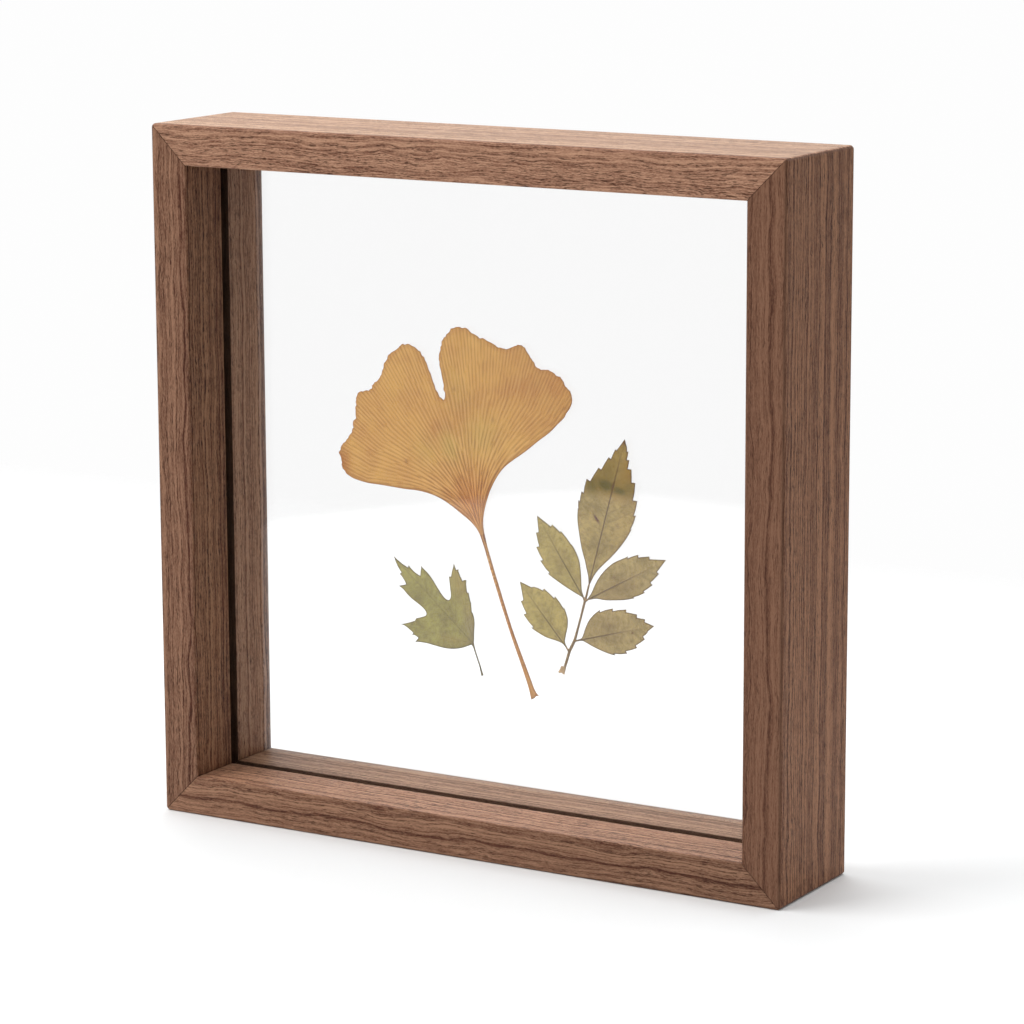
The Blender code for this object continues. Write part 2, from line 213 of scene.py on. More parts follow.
def makeStudio():
    # card: a wide sheet whose front edge shows only as a mirror image in the glass
    frontX, frontY = studio["cardFront"]
    left, right = studio["cardEnds"]
    bowX, bow = studio["cardBow"]
    across, back, steepness = studio["cardCurl"]
    backY = studio["cardBack"]
    rim = [(right, backY), (right, frontY + bow), (right - 0.1, frontY + bow)]
    steps = [step / 12 for step in range(13)]
    for t in steps:
        rim.append((bowX + (frontX - bowX) * t, frontY + bow - bow * math.sin(math.pi / 2 * t)))
    for t in steps[1:]:
        rim.append((frontX - across * t, frontY + back * t ** steepness))
    rim += [(left, studio["cardShoulder"]), (left, backY)]
    rim = rim[::-1]
    count = len(rim)
    inner = easedSection(rim, studio["cardFade"])
    inner = [(x, y - studio["backFade"] if y > 0.1 else y) for x, y in inner]
    faces = [(i, (i + 1) % count, (i + 1) % count + count, i + count) for i in range(count)]
    faces.append(list(range(count, 2 * count)))
    mesh = bpy.data.meshes.new("white_card")
    mesh.from_pydata([(x, y, 0) for x, y in rim + inner], [], faces)
    storeOnMesh(mesh, solidity=np.repeat([0.0, 1.0], count))
    white, tree, shader = startMaterial("white paper card, matt", Roughness=0.75, Specular_IOR_Level=0.3,
                                        Base_Color=(*studio["cardWhite"], 1))
    clear = addNode(tree, "BsdfTransparent")
    mix = addNode(tree, "MixShader", {0: stored(tree, "solidity"), 1: clear, 2: shader})
    tree.links.new(mix.outputs[0], tree.nodes["Material Output"].inputs["Surface"])
    mesh.materials.append(white)
    floor = addObject("white_card", mesh)

    for name in ("overhead softbox", "side lamp"):
        power, size, place = studio[name]
        light = bpy.data.lights.new(name, "AREA")
        light.size = size
        light.energy = power
        lamp = addObject(name, light)
        lamp.location = place
        lamp.rotation_euler = (Vector(place) - middle).to_track_quat("Z", "Y").to_euler()

    world = bpy.data.worlds.new("white studio")
    scene.world = world
    world.use_nodes = True
    tree = world.node_tree
    # surfaces see a room, brighter behind; the camera sees an even backdrop, also through the glass
    direction = split(tree, addNode(tree, "TexCoord").outputs["Generated"])
    low = addMath(tree, "LESS_THAN", direction["Z"], 0.0)
    front = addNode(tree, "Mix", {0: low, 2: studio["roomFront"], 3: studio["roomFloor"]})
    side = addRange(tree, direction["X"], -0.3, 0.5, 1.0, studio["roomRight"])
    behind = multiply(tree, side, studio["roomBehind"])
    room = addRange(tree, direction["Y"], -0.5, 0.5, front, behind)
    path = addNode(tree, "LightPath").outputs
    bounces = addMath(tree, "ADD", path["Diffuse Depth"], path["Glossy Depth"])
    firstHand = addMath(tree, "LESS_THAN", bounces, 0.5)
    through = multiply(tree, path["Is Transmission Ray"], firstHand)
    seen = addMath(tree, "MAXIMUM", path["Is Camera Ray"], through)
    brightness = addNode(tree, "Mix", {0: seen, 2: room, 3: studio["backdrop"]})
    background = tree.nodes["Background"]
    background.inputs["Color"].default_value = (1, 1, 1, 1)
    tree.links.new(brightness.outputs[0], background.inputs["Strength"])

    scene.view_settings.view_transform = "Standard"
    scene.view_settings.look = "None"
    scene.cycles.use_denoising = True
    scene.cycles.max_bounces = 24
    scene.cycles.transmission_bounces = 16
    scene.cycles.transparent_max_bounces = 16


# Rails. Their outside comes from the CAD boxes, and their roundings are the CAD's.
rail = {
    "outerRound": 1,         # rounding of the outer long edges and of the corners, mm
    "innerRound": 0.6,       # rounding of the edges round the opening, mm
    "roundSteps": 8,
    "grooveWidth": 5.2,      # a little less than the CAD's, for the dark line of the photograph
    "grooveDepth": 5,
    "grooveShade": 0.25,     # painted shade: the groove's walls are painted dark, for the shade deep in the groove
    "grooveLip": 0.1,        # chamfer along both edges of the groove, mm
    "mitreGap": 0.02,        # half of the glue line between two rails, mm
    "mitreEase": 0.1,        # ends eased by sanding, mm
    "edgeBand": 0.12,        # narrow strip beside each rounding, which keeps the flats flat
    "edgeLightSpread": 18,        # degrees round the front outer edge over which its painted light fades out: a highlight on the top rail, shade on the right rail
    # turn: degrees round from the top; tilt: of the growth rings, degrees; logPlace: where in the log the
    # board was cut, mm; tone: red, green and blue by which the whole board is multiplied, beside the others;
    # faces: painted light and shade, as the tone of the inner face in front of and behind the glass, and of
    # the outside, each lighter, darker or tinted for the light that falls on it, the top rail's outside
    # lighter and paler for the overhead light and its sheen; edge: tone of the front outer edge, a painted
    # highlight above 1 and painted shade below 1; then, for the front, the inner face and the outside, ends:
    # tone at both ends,
    # clockwise, and figure: contrast of the grain
    "boards": {
        "top_rail": {"turn": 0, "tilt": 24, "logPlace": (40, 11, 6), "tone": (0.978, 0.958, 0.967),
                     "faces": (1, 1, (1.2, 1.32, 1.29)), "edge": 1.08,
                     "ends": ((0.99, 1.03), (1, 1), (1.05, 0.97)), "figure": (0.98, 0.9, 0.95)},
        "right_rail": {"turn": 90, "tilt": 26, "logPlace": (310, 37, 16), "tone": (0.551, 0.497, 0.479),
                       "faces": (1, 1, (1.13, 1.07, 0.94)), "edge": 0.62,
                       "ends": ((1.02, 0.97), (1, 1), (0.92, 1.08)), "figure": (0.6, 0.9, 1.1)},
        "bottom_rail": {"turn": 180, "tilt": 27, "logPlace": (620, 71, 29), "tone": (0.7, 0.674, 0.66),
                        "faces": ((1.48, 1.48, 1.47), (1.09, 1.2, 1.2), 1), "edge": 1,
                        "ends": ((0.93, 1.12), (0.96, 1.04), (1, 1)), "figure": (0.88, 1.2, 1)},
        "left_rail": {"turn": 270, "tilt": 27, "logPlace": (930, 88, 41), "tone": (0.637, 0.6, 0.59),
                      "faces": ((1, 0.955, 0.85), (1.23, 1.285, 1.26), 1), "edge": 1,
                      "ends": ((0.97, 1.05), (1.1, 0.89), (1, 1)), "figure": (0.93, 1.3, 1)},
    },
}


def arcPoints(centreX, centreY, radius, start, end):
    steps = rail["roundSteps"]
    turns = [math.radians(start + (end - start) * i / steps) for i in range(steps + 1)]
    return [(centreX + radius * math.cos(a), centreY + radius * math.sin(a)) for a in turns]


def railSection(outer, inner, halfDepth):
    # once round a rail: (distance from the frame's centre, front to back), mm
    big, small, band = rail["outerRound"], rail["innerRound"], rail["edgeBand"]
    halfGroove, lip = rail["grooveWidth"] / 2, rail["grooveLip"]
    deep = inner + rail["grooveDepth"]
    points = [(outer - big - band, -halfDepth)]
    points += arcPoints(outer - big, big - halfDepth, big, -90, 0)
    points += [(outer, big + band - halfDepth), (outer, halfDepth - big - band)]
    points += arcPoints(outer - big, halfDepth - big, big, 0, 90)
    points += [(outer - big - band, halfDepth), (inner + small + band, halfDepth)]
    points += arcPoints(inner + small, halfDepth - small, small, 90, 180)
    points += [(inner, halfDepth - small - band), (inner, halfGroove + lip), (inner + lip, halfGroove),
               (deep, halfGroove), (deep, -halfGroove), (inner + lip, -halfGroove),
               (inner, -halfGroove - lip), (inner, small + band - halfDepth)]
    points += arcPoints(inner + small, small - halfDepth, small, 180, 270)
    points.append((inner + small + band, -halfDepth))
    return points


def easedSection(section, amount):
    # the same outline, moved in all round
    moved = []
    for i, here in enumerate(section):
        before, after = Vector(section[i - 1]), Vector(section[(i + 1) % len(section)])
        here = Vector(here)
        way = (here - before).normalized() + (after - here).normalized()
        moved.append(here + Vector((-way.y, way.x)).normalized() * amount)
    return [(p.x, p.y) for p in moved]


def railMesh(name):
    board = rail["boards"][name]
    outer = (cadBox[1].x - cadBox[0].x) / 2 / mm
    inner = -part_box("left_rail")[1].x / mm
    halfDepth = (cadBox[1].y - cadBox[0].y) / 2 / mm
    section = railSection(outer, inner, halfDepth)
    eased = easedSection(section, rail["mitreEase"])
    cornerAt = outer - rail["outerRound"]
    straight = [-1, -0.98, -0.8, -0.6, -0.4, -0.2, 0, 0.2, 0.4, 0.6, 0.8, 0.98, 1]
    cornerSteps = 4

    def stationPoint(station, point, ease):
        # a station is (share of the straight length, turn round the corner); a point is (out, depth)
        share, angle = station
        out, depth = point
        reach = min(out, cornerAt)
        beyond = max(out - cornerAt, 0)
        along = share * reach + math.copysign(beyond * math.sin(angle), share)
        up = reach + beyond * math.cos(angle)
        pull = rail["mitreGap"] * math.sqrt(2) + ease
        return Vector((along - share ** 9 * pull, depth, up))

    corner = [math.radians(45 * i / cornerSteps) for i in range(1, cornerSteps + 1)]
    stations = [(-1, a) for a in reversed(corner)] + [(s, 0) for s in straight] + [(1, a) for a in corner]
    bm = bmesh.new()
    rings = [[bm.verts.new(stationPoint(stations[0], p, 0)) for p in eased]]
    for station in stations:
        rings.append([bm.verts.new(stationPoint(station, p, rail["mitreEase"])) for p in section])
    rings.append([bm.verts.new(stationPoint(stations[-1], p, 0)) for p in eased])
    count = len(section)
    for one, two in zip(rings, rings[1:]):
        for i in range(count):
            j = (i + 1) % count
            bm.faces.new((one[i], one[j], two[j], two[i]))
    bm.faces.new(rings[0])
    bm.faces.new(reversed(rings[-1]))
    bmesh.ops.remove_doubles(bm, verts=bm.verts, dist=1e-4)
    bmesh.ops.dissolve_degenerate(bm, edges=bm.edges, dist=1e-5)
    bmesh.ops.recalc_face_normals(bm, faces=bm.faces)
    mesh = bpy.data.meshes.new(name)
    bm.to_mesh(mesh)
    bm.free()

    # for the walnut: each point's place in the log, its tone together with the painted light and shade
    # above, its distance from the mitre and the contrast
    along, depth, up = np.array([v.co for v in mesh.vertices]).T
    lean = math.radians(board["tilt"])
    out = up - (outer + inner) / 2
    log = np.stack([along, depth * math.cos(lean) + out * math.sin(lean),
                    out * math.cos(lean) - depth * math.sin(lean)], 1)
    seam = (up - abs(along)) / math.sqrt(2)
    isInner, isOutside = up < inner + 0.05, up > outer - 0.05
    # painted light and shade: the inner face in front of and behind the glass and the outside each take
    # their own tone, lighter, darker or tinted for the light that falls on them
    inFront, behind, outside = board["faces"]
    shade = np.ones((len(up), 3))
    shade[isInner & (depth < 0)] = inFront
    shade[isInner & (depth >= 0)] = behind
    shade[isOutside] = outside
    # painted light on the front outer rounding: a lighter band along the top rail's, a darker one along the
    # right rail's
    edgeDepth = depth + halfDepth - rail["outerRound"]
    over = np.degrees(np.arctan2(edgeDepth, up - cornerAt))
    paintedEdge = (up > cornerAt) & (edgeDepth < 0)
    edgeLightShare = np.exp(-((over + 45) / rail["edgeLightSpread"]) ** 2)
    shade *= np.where(paintedEdge, 1 - (1 - board["edge"]) * edgeLightShare, 1)[:, None]
    figure = np.zeros(len(up))
    faces = (~isInner & ~isOutside, isInner, isOutside)
    # tone from end to end along each face; on the left rail's inner face this is painted light, lighter low
    # down where light from the floor falls
    for face, ends, contrast in zip(faces, board["ends"], board["figure"]):
        shade[face] *= np.interp(along[face], (-outer, outer), ends)[:, None]
        figure[face] = contrast
    # painted shade: the walls of the groove take a dark tone that stands in for the shade deep in it
    shadedGrooveWalls = (abs(depth) < rail["grooveWidth"] / 2 + 0.01) & (up < outer - 1)
    shade[shadedGrooveWalls] = rail["grooveShade"]
    storeOnMesh(mesh, logPlace=log, logShift=np.tile(board["logPlace"], (len(up), 1)),
                tone=shade * board["tone"], seam=seam, figure=figure)
    mesh.transform(Matrix.Scale(mm, 4))
    mesh.shade_smooth()
    mesh.set_sharp_from_angle(angle=math.radians(30))
    return mesh


# Walnut, sawn, sanded smooth and rubbed with oil: mid brown with wavy darker growth lines, fine straight
# fibres and short dark pores; the oil leaves a soft satin sheen that pales at a grazing angle.
walnut = {
    "light": "#bd9377",
    "dark": "#633b2c",
    "pore": "#2c140c",
    "glueLine": "#3a251b",
    "pithAt": 70,            # mm from the board to the middle of the log
    "wander": 1.5,           # mm that the grain wanders sideways
    "wanderLength": 22,      # over about this many mm
    "wanderSquash": 2.2,     # and so many times quicker across the board than along it
    "lineWidth": 0.42,       # mm between the finer growth lines, across the rings
    "bands": 0.32,           # broad bands in one mm, across the rings
    "fibreSize": (3.6, 0.2),       # length and width, mm; real fibres are finer and wouldn't show
    "fleckSize": (0.4, 0.4 / 3),   # short flecks where fibres end in the surface
    "poreSize": (1.1, 0.13),
    # how much light brown each layer adds: two values of its noise, and the share at each
    "lineShare": (0.38, 0.6, 0, 0.5),
    "bandShare": (0.35, 0.65, 0, 0.48),
    "fleckShare": (0.35, 0.65, -0.16, 0.16),
    "fibreShare": (0.4, 0.6, -0.15, 0.29),
    # pores: more in the dark growth lines, fewer here and there along the board
    "poreCrowd": (0.35, 0.65, 0.1, -0.1),
    "poreGaps": (0.38, 0.62, 0.03, -0.04),
    "poreEdge": (0.58, 0.64),
    "poreStrength": 0.68,
    "poreDepth": -0.7,
    "glueFade": (0.05, 0.25, 0.35, 0),     # mm from the joint, and the glue line's share
    "middleShade": 0.42,     # share of the light brown about which a plainer board's grain pales
    "roughness": 0.46,
    "roughnessSpread": (0.05, -0.04),   # between the fibres and on them
}


def grainNoise(tree, place, size, detail, roughness=0.5):
    # a noise of this length along the grain and width across it, over a place in mm
    length, width = size
    stretched = addScaled(tree, place, (0.5 / length, 0.5 / width, 0.5 / width))
    return addNoise(tree, stretched, detail, roughness)


def walnutMaterial():
    material, tree, shader = startMaterial("walnut, oiled", IOR=1.45, Specular_IOR_Level=0.1)
    place, shift = stored(tree, "logPlace", "Vector"), stored(tree, "logShift", "Vector")
    inLog = addNode(tree, "VectorMath", {0: place, 1: shift}, operation="ADD")

    # the grain wanders sideways, both across the rings and along them
    slow, squash = 1 / walnut["wanderLength"], walnut["wanderSquash"]
    slowPlace = addScaled(tree, inLog, (slow, slow * squash, slow * squash))
    wander = addNoise(tree, slowPlace, 3.5, 0.48)
    sideways = 2 * walnut["wander"]
    bend = addScaled(tree, wander.outputs["Color"], (0, sideways, sideways))
    bent = addNode(tree, "VectorMath", {0: place, 1: bend}, operation="ADD")
    across = split(tree, bent)

    # growth lines and bands: one-way noises across the curved rings
    curve = multiply(tree, across["Z"], across["Z"])
    ring = addMath(tree, "MULTIPLY_ADD", curve, 0.5 / walnut["pithAt"], across["Y"])
    ring = addMath(tree, "ADD", ring, split(tree, shift)["Y"])
    fineRing = multiply(tree, ring, 0.5 / walnut["lineWidth"])
    lines = addNode(tree, "TexNoise", {"W": fineRing, "Scale": 1, "Detail": 4, "Roughness": 0.68},
                    noise_dimensions="1D")
    bands = addNode(tree, "TexNoise", {"W": ring, "Scale": walnut["bands"], "Detail": 2.5},
                    noise_dimensions="1D")

    # fibres, flecks and pores follow the bent grain
    along = split(tree, inLog)["X"]
    grain = addNode(tree, "CombineXYZ", {0: along, 1: ring, 2: across["Z"]})
    fibres = grainNoise(tree, grain, walnut["fibreSize"], 3, 0.65)
    flecks = grainNoise(tree, grain, walnut["fleckSize"], 1)
    crowded = grainNoise(tree, grain, walnut["poreSize"], 2)
    crowded = addMath(tree, "ADD", crowded, addRange(tree, lines, *walnut["poreCrowd"]))
    crowded = addMath(tree, "ADD", crowded, addRange(tree, wander, *walnut["poreGaps"]))
    pores = addRange(tree, crowded, *walnut["poreEdge"])

    # colour: the layers together choose between the dark and the light brown
    share = addMath(tree, "ADD", addRange(tree, lines, *walnut["lineShare"]),
                    addRange(tree, bands, *walnut["bandShare"]))
    share = addMath(tree, "ADD", share, addRange(tree, flecks, *walnut["fleckShare"]))
    share = addMath(tree, "ADD", share, addRange(tree, fibres, *walnut["fibreShare"]), use_clamp=True)
    figure = stored(tree, "figure")
    offMiddle = addMath(tree, "SUBTRACT", share, walnut["middleShade"])
    share = addMath(tree, "MULTIPLY_ADD", offMiddle, figure, walnut["middleShade"], use_clamp=True)
    wood = blend(tree, share, walnut["dark"], walnut["light"])
    # the stored tone: each board's own tone times the painted light and shade set on its faces, front edge
    # and groove, and the tone along it
    wood = addScaled(tree, wood, stored(tree, "tone", "Vector"))
    poreShare = multiply(tree, pores, multiply(tree, figure, walnut["poreStrength"]))
    wood = blend(tree, poreShare, wood, walnut["pore"])
    wood = blend(tree, addRange(tree, stored(tree, "seam"), *walnut["glueFade"]), wood, walnut["glueLine"])

    between, onFibre = (walnut["roughness"] + spread for spread in walnut["roughnessSpread"])
    rough = addRange(tree, fibres, 0.3, 0.7, between, onFibre)
    tree.links.new(rough.outputs[0], shader.inputs["Roughness"])
    height = addMath(tree, "MULTIPLY_ADD", pores, walnut["poreDepth"], fibres)
    finishMaterial(tree, shader, wood, height, 0.5, 0.06)
    return material


def makeRails():
    material = walnutMaterial()
    for name, board in rail["boards"].items():
        addPiece("walnut_" + name, railMesh(name), material, name, middle, board["turn"])
    print("rails: 4 boards of oiled walnut")


# Float glass, clear and polished: invisible but for the room that it mirrors. Its edges stay in the groove.
glass = {"IOR": 1.5, "tint": "#ffffff"}


def makeGlass():
    material, tree, shader = startMaterial("clear glass, float", IOR=glass["IOR"], Roughness=0.0,
                                           Base_Color=linearColour(glass["tint"]), Transmission_Weight=1.0)
    path = addNode(tree, "LightPath")
    clear = addNode(tree, "BsdfTransparent")
    mix = addNode(tree, "MixShader", {0: path.outputs["Is Shadow Ray"], 1: shader, 2: clear})
    tree.links.new(mix.outputs[0], tree.nodes["Material Output"].inputs["Surface"])
    for name in ("front_glass", "back_glass"):
        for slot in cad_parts[name].material_slots:
            slot.material = material
    print("glass: two clear panes")


# Leaves. Each outline is the CAD leaf's own; the blade between is modelled here in the leaf's own frame:
# across is positive to the right of the midrib, along runs from the foot of the blade to its tip, mm.
leaves = {
    "ginkgo_leaf": {"foot": (-3.2, 88.4), "axis": 110, "slot": "dried_ginkgo", "spacing": 0.34},
    "lobed_leaf": {"foot": (-6.1, 56.5), "axis": 139.6, "slot": "dried_lobed_leaf", "spacing": 0.27},
    "sprig_stem": {"foot": (22.8, 51.3), "axis": 90, "slot": "dried_stem", "spacing": 0.17},
    "tip_leaflet": {"foot": (31, 77.7), "axis": 74.8, "slot": "dried_leaflet", "spacing": 0.27},
    "upper_left_leaflet": {"foot": (29.6, 73.3), "axis": 124.2, "slot": "dried_leaflet", "spacing": 0.25},
    "upper_right_leaflet": {"foot": (30.8, 73.5), "axis": 29, "slot": "dried_leaflet", "spacing": 0.25},
    "lower_left_leaflet": {"foot": (24.5, 58.3), "axis": 131.3, "slot": "dried_leaflet", "spacing": 0.25},
    "lower_right_leaflet": {"foot": (26.8, 61.3), "axis": 16, "slot": "dried_leaflet", "spacing": 0.25},
}
blade = {
    "rimThick": 0.05,        # half thickness at the very edge, mm
    "thick": 0.11,           # half thickness inside
    "roundOver": 0.35,       # mm over which it reaches that
    "stalkThick": 0.2,       # a stalk is thicker by this
    "stalkRound": 0.15,      # and rounded over this much more
    "stalkEnds": {"ginkgo_leaf": (-4, 7), "lobed_leaf": (-0.4, 0.8)},   # where it turns into the blade, mm
    "wave": 0.1,             # mm that the pressed blade still waves between the panes
    "waveLengths": (14, 3.2),   # mm, of its slow and its quick waves
    "quickShare": 0.35,      # height of the quick waves as a share of the slow ones
    "fanVein": 0.055,        # height of the ginkgo's veins, mm
    "midrib": (0.05, 0.28),  # height and half width of a leaflet's midrib, mm
    "rows": (0.14, 0.34),    # rows of points that follow the edge, mm in from it
}
# finer points than the CAD has, mm
margin = {
    "toothUp": 0.42,         # a leaflet's tooth, towards the leaflet's tip
    "toothOut": 0.12,        # and outwards
    "lobeTips": 0.35,        # the lobed leaf's points
    "ragged": 0.45,          # the ginkgo's outer margin
    "raggedLength": 0.9,     # over about this far along it
    "raggedFrom": (24, 32),  # and from here outwards
}
# short stalks from the stem to the foot of each leaflet: (across, along, radius) at both ends, mm
leafletStalks = (
    ((7.95, 25.3, 0.24), (8.27, 26.66, 0.22)),
    ((6.95, 21.6, 0.36), (6.29, 22.74, 0.26)),
    ((6.95, 21.6, 0.36), (7.97, 22.18, 0.24)),
    ((1.9, 6.6, 0.3), (1.06, 7.72, 0.22)),
    ((3.6, 9.9, 0.32), (4.64, 10.18, 0.24)),
)
stemNode = (6.98, 21.75, 0.5)    # the swelling where the upper pair joins: (across, along, radius)


def cadOutline(name):
    # the front face's border as one loop of (across, along), mm
    shape = leaves[name]
    bm = bmesh.new()
    bm.from_mesh(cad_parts[name].data)
    bmesh.ops.remove_doubles(bm, verts=bm.verts, dist=2e-6)
    bm.normal_update()
    front = {f for f in bm.faces if f.normal.y < -0.5}
    nextTo = {}
    for edge in bm.edges:
        if sum(f in front for f in edge.link_faces) == 1:
            one, two = edge.verts
            nextTo.setdefault(one, []).append(two)
            nextTo.setdefault(two, []).append(one)
    start = min(nextTo, key=lambda v: (v.co.z, v.co.x))
    loop, before = [start], None
    while True:
        step = [v for v in nextTo[loop[-1]] if v is not before][0]
        before = loop[-1]
        if step is start:
            break
        loop.append(step)
    turn = math.radians(shape["axis"])
    footX, footZ = shape["foot"]
    x, z = np.array([(v.co.x / mm - footX, v.co.z / mm - footZ) for v in loop]).T
    bm.free()
    outline = np.stack([x * math.sin(turn) - z * math.cos(turn), x * math.cos(turn) + z * math.sin(turn)], 1)
    following = np.roll(outline, -1, axis=0)
    area = np.sum(outline[:, 0] * following[:, 1] - outline[:, 1] * following[:, 0])
    return outline if area > 0 else outline[::-1].copy()


def finerMargin(name, outline):
    # draws the teeth out to finer points than the CAD's, and leaves the ginkgo's margin a little ragged
    into = outline - np.roll(outline, 1, axis=0)
    out = np.roll(outline, -1, axis=0) - outline
    bend = np.degrees(np.arctan2(into[:, 0] * out[:, 1] - into[:, 1] * out[:, 0], (into * out).sum(1)))
    into /= np.hypot(*into.T)[:, None]
    out /= np.hypot(*out.T)[:, None]
    if name == "ginkgo_leaf":
        away = np.stack([into[:, 1] + out[:, 1], -into[:, 0] - out[:, 0]], 1) / 2
        ragged = slowWave(outline, margin["raggedLength"], 40) * margin["ragged"]
        ragged *= smoothStep(*margin["raggedFrom"], outline[:, 1])
        return outline + away * ragged[:, None]
    if name == "lobed_leaf":
        tips = (bend > 60) & (outline[:, 1] > 2)
        return outline + np.where(tips[:, None], (into - out) * margin["lobeTips"] / 2, 0)
    if name != "sprig_stem":
        tips = (bend > 40) & (outline[:, 1] > 3)
        sideways = np.sign(outline[:, 0]) * margin["toothOut"]
        forward = np.stack([sideways, np.full(len(outline), margin["toothUp"])], 1)
        return outline + np.where(tips[:, None], forward, 0)
    return outline


def edgeDistance(points, outline):
    # distance to the outline, mm, below zero outside it
    best = np.full(len(points), 1e9)
    inside = np.zeros(len(points), bool)
    for a, b in zip(outline, np.roll(outline, -1, axis=0)):
        run = b - a
        t = np.clip((points - a) @ run / max(run @ run, 1e-12), 0, 1)
        best = np.minimum(best, np.hypot(*(points - a - t[:, None] * run).T))
        crosses = (a[1] > points[:, 1]) != (b[1] > points[:, 1])
        rise = b[1] - a[1] if abs(b[1] - a[1]) > 1e-12 else 1e-12
        inside ^= crosses & (points[:, 0] < a[0] + (points[:, 1] - a[1]) / rise * run[0])
    return np.where(inside, best, -best)


def smoothStep(low, high, x):
    t = np.clip((x - low) / (high - low), 0, 1)
    return t * t * (3 - 2 * t)


def innerPoints(outline, spacing):
    # rows that follow the edge, then a staggered field
    way = np.roll(outline, -1, axis=0) - np.roll(outline, 1, axis=0)
    normals = np.stack([-way[:, 1], way[:, 0]], 1) / np.hypot(*way.T)[:, None]
    rows = []
    for depth in blade["rows"]:
        ring = outline + normals * depth
        rows.append(ring[edgeDistance(ring, outline) > depth * 0.8])
    low, high = outline.min(0), outline.max(0)
    field = np.array([(x, y) for j, y in enumerate(np.arange(low[1], high[1], spacing * 0.87))
                      for x in np.arange(low[0] + (j % 2) * spacing / 2, high[0], spacing)])
    inside = edgeDistance(field, outline)
    rows += [field[inside > blade["rows"][1] + spacing * 0.45], field[inside > 0.2]]
    # of points that crowd each other only the first is kept
    kept, cells = [], {}
    reach = spacing * 0.55
    for p in np.concatenate(rows):
        column, row = int(p[0] // reach), int(p[1] // reach)
        near = [q for dx in (-1, 0, 1) for dy in (-1, 0, 1) for q in cells.get((column + dx, row + dy), ())]
        if all((q[0] - p[0]) ** 2 + (q[1] - p[1]) ** 2 >= (reach * 0.75) ** 2 for q in near):
            cells.setdefault((column, row), []).append(p)
            kept.append(p)
    return np.array(kept)


fanSpread = ((6, 24), (40, 57))   # mm out from the ginkgo's foot, and half the fan there in degrees


def fanPlace(points):
    # where a point lies in the fan: -1 at the right margin, 1 at the left, and how far out
    (near, narrow), (far, wide) = fanSpread
    reach = np.hypot(points[:, 0], points[:, 1])
    lean = np.degrees(np.arctan2(-points[:, 0], np.maximum(points[:, 1], 1e-6)))
    t = np.clip((reach - near) / (far - near), 0, 1)
    half = narrow + (wide - narrow) * (t + np.sin(t * math.pi / 2)) / 2
    return lean / half, reach


# the ginkgo's veins fork as the fan widens: distance out in mm, and how many veins beyond it
ginkgoVeins = ((0, 4), (5.5, 8), (9, 12), (13, 19), (18, 28), (24, 40), (31, 58), (40, 80), (47, 100))
veinFork = 0.8               # mm over which one count gives way to the next
# the forks don't line up: they lie nearer or farther out by waves of (mm, how quick over the fan, start)
forkWaves = ((1.6, 23, 0), (1.2, 57, 1))


def ginkgoRidge(fan, reach):
    # 1 on a vein, 0 between two
    value = np.full(len(fan), 0.5)
    uneven = sum(amount * np.sin(fan * quick + start) for amount, quick, start in forkWaves)
    for start, count in ginkgoVeins:
        wave = 0.5 + 0.5 * np.cos(fan * count * math.pi)
        share = smoothStep(start - veinFork, start + veinFork, reach + uneven) if start else 1.0
        value = value * (1 - share) + wave * share
    return value


# stains and colour patches: (across, along, half width, half length, turn in degrees, strength)
stains = {
    "ginkgo_leaf": [(-17, 25.6, 0.4, 0.55, 30, 0.55), (5.3, 40.7, 0.6, 0.6, 0, 0.35),
                    (14.6, 29.2, 0.6, 0.9, -20, 0.3), (-12, 44, 3.5, 4, 0, 0.05),
                    (-0.8, 32, 1.8, 2.5, 0, 0.1), (10.5, 36, 3, 4, 0, 0.06), (12, 50, 3, 2, 0, 0.06),
                    (-26.5, 29.5, 3.5, 2, 40, 0.06), (21, 32, 1, 4, -35, 0.06), (2.5, 19, 1.5, 3, 0, 0.06)],
    "tip_leaflet": [(-2.57, 18.62, 0.32, 1.25, 55, 1.5), (4.2, 19, 0.55, 0.45, 0, 0.35),
                    (3.9, 13, 0.5, 0.4, 0, 0.4), (4, 33.5, 0.4, 0.5, 0, 0.3),
                    (2.6, 38.5, 0.5, 0.9, 0, 0.3), (-0.2, 29.2, 0.35, 1.2, 0, 0.6),
                    (0, 42.4, 0.8, 1.3, 0, 1)],
    "lower_right_leaflet": [(0.8, 18.4, 0.35, 0.35, 0, 0.8), (-2.4, 12, 0.6, 0.8, 0, 0.25)],
    "upper_right_leaflet": [(-2.2, 10.5, 0.5, 0.4, 0, 0.3), (2.4, 15, 0.6, 0.5, 0, 0.25)],
    "upper_left_leaflet": [(1.8, 14, 0.6, 0.5, 0, 0.25)],
    "lower_left_leaflet": [(0.6, 5.5, 1.2, 3.2, 15, 0.2)],
    "lobed_leaf": [(-2.6, -4.4, 1.6, 5, -30, 0.9), (-4.6, 8.5, 0.8, 0.6, 0, 0.3)],
}
greener = {
    "lobed_leaf": [(10.5, 15.5, 3.2, 6.5, -32, 0.7), (6.5, 9, 2, 5, -30, 0.4), (-4, 5.5, 1.2, 5, 40, 0.5)],
    "ginkgo_leaf": [(-1.5, 25.6, 3.5, 5, 0, 0.7), (9, 26, 7, 6, 0, 0.5), (-9, 27, 5, 5, 0, 0.35),
                    (6, 40, 4, 8, 0, 0.3)],
    "tip_leaflet": [(-2.4, 28.6, 4, 2.2, 4, 1.1), (-1.8, 30.8, 3, 2.4, 0, 0.55),
                    (-6.4, 27.2, 3, 3.2, 10, 0.85), (-5.5, 24.8, 3, 1.6, 10, 0.3),
                    (2, 28.6, 3.2, 1.4, 4, 1.05), (4.6, 29.6, 3.2, 2.4, 0, 0.55),
                    (-3, 33, 4.6, 5, 15, 0.42)],
}
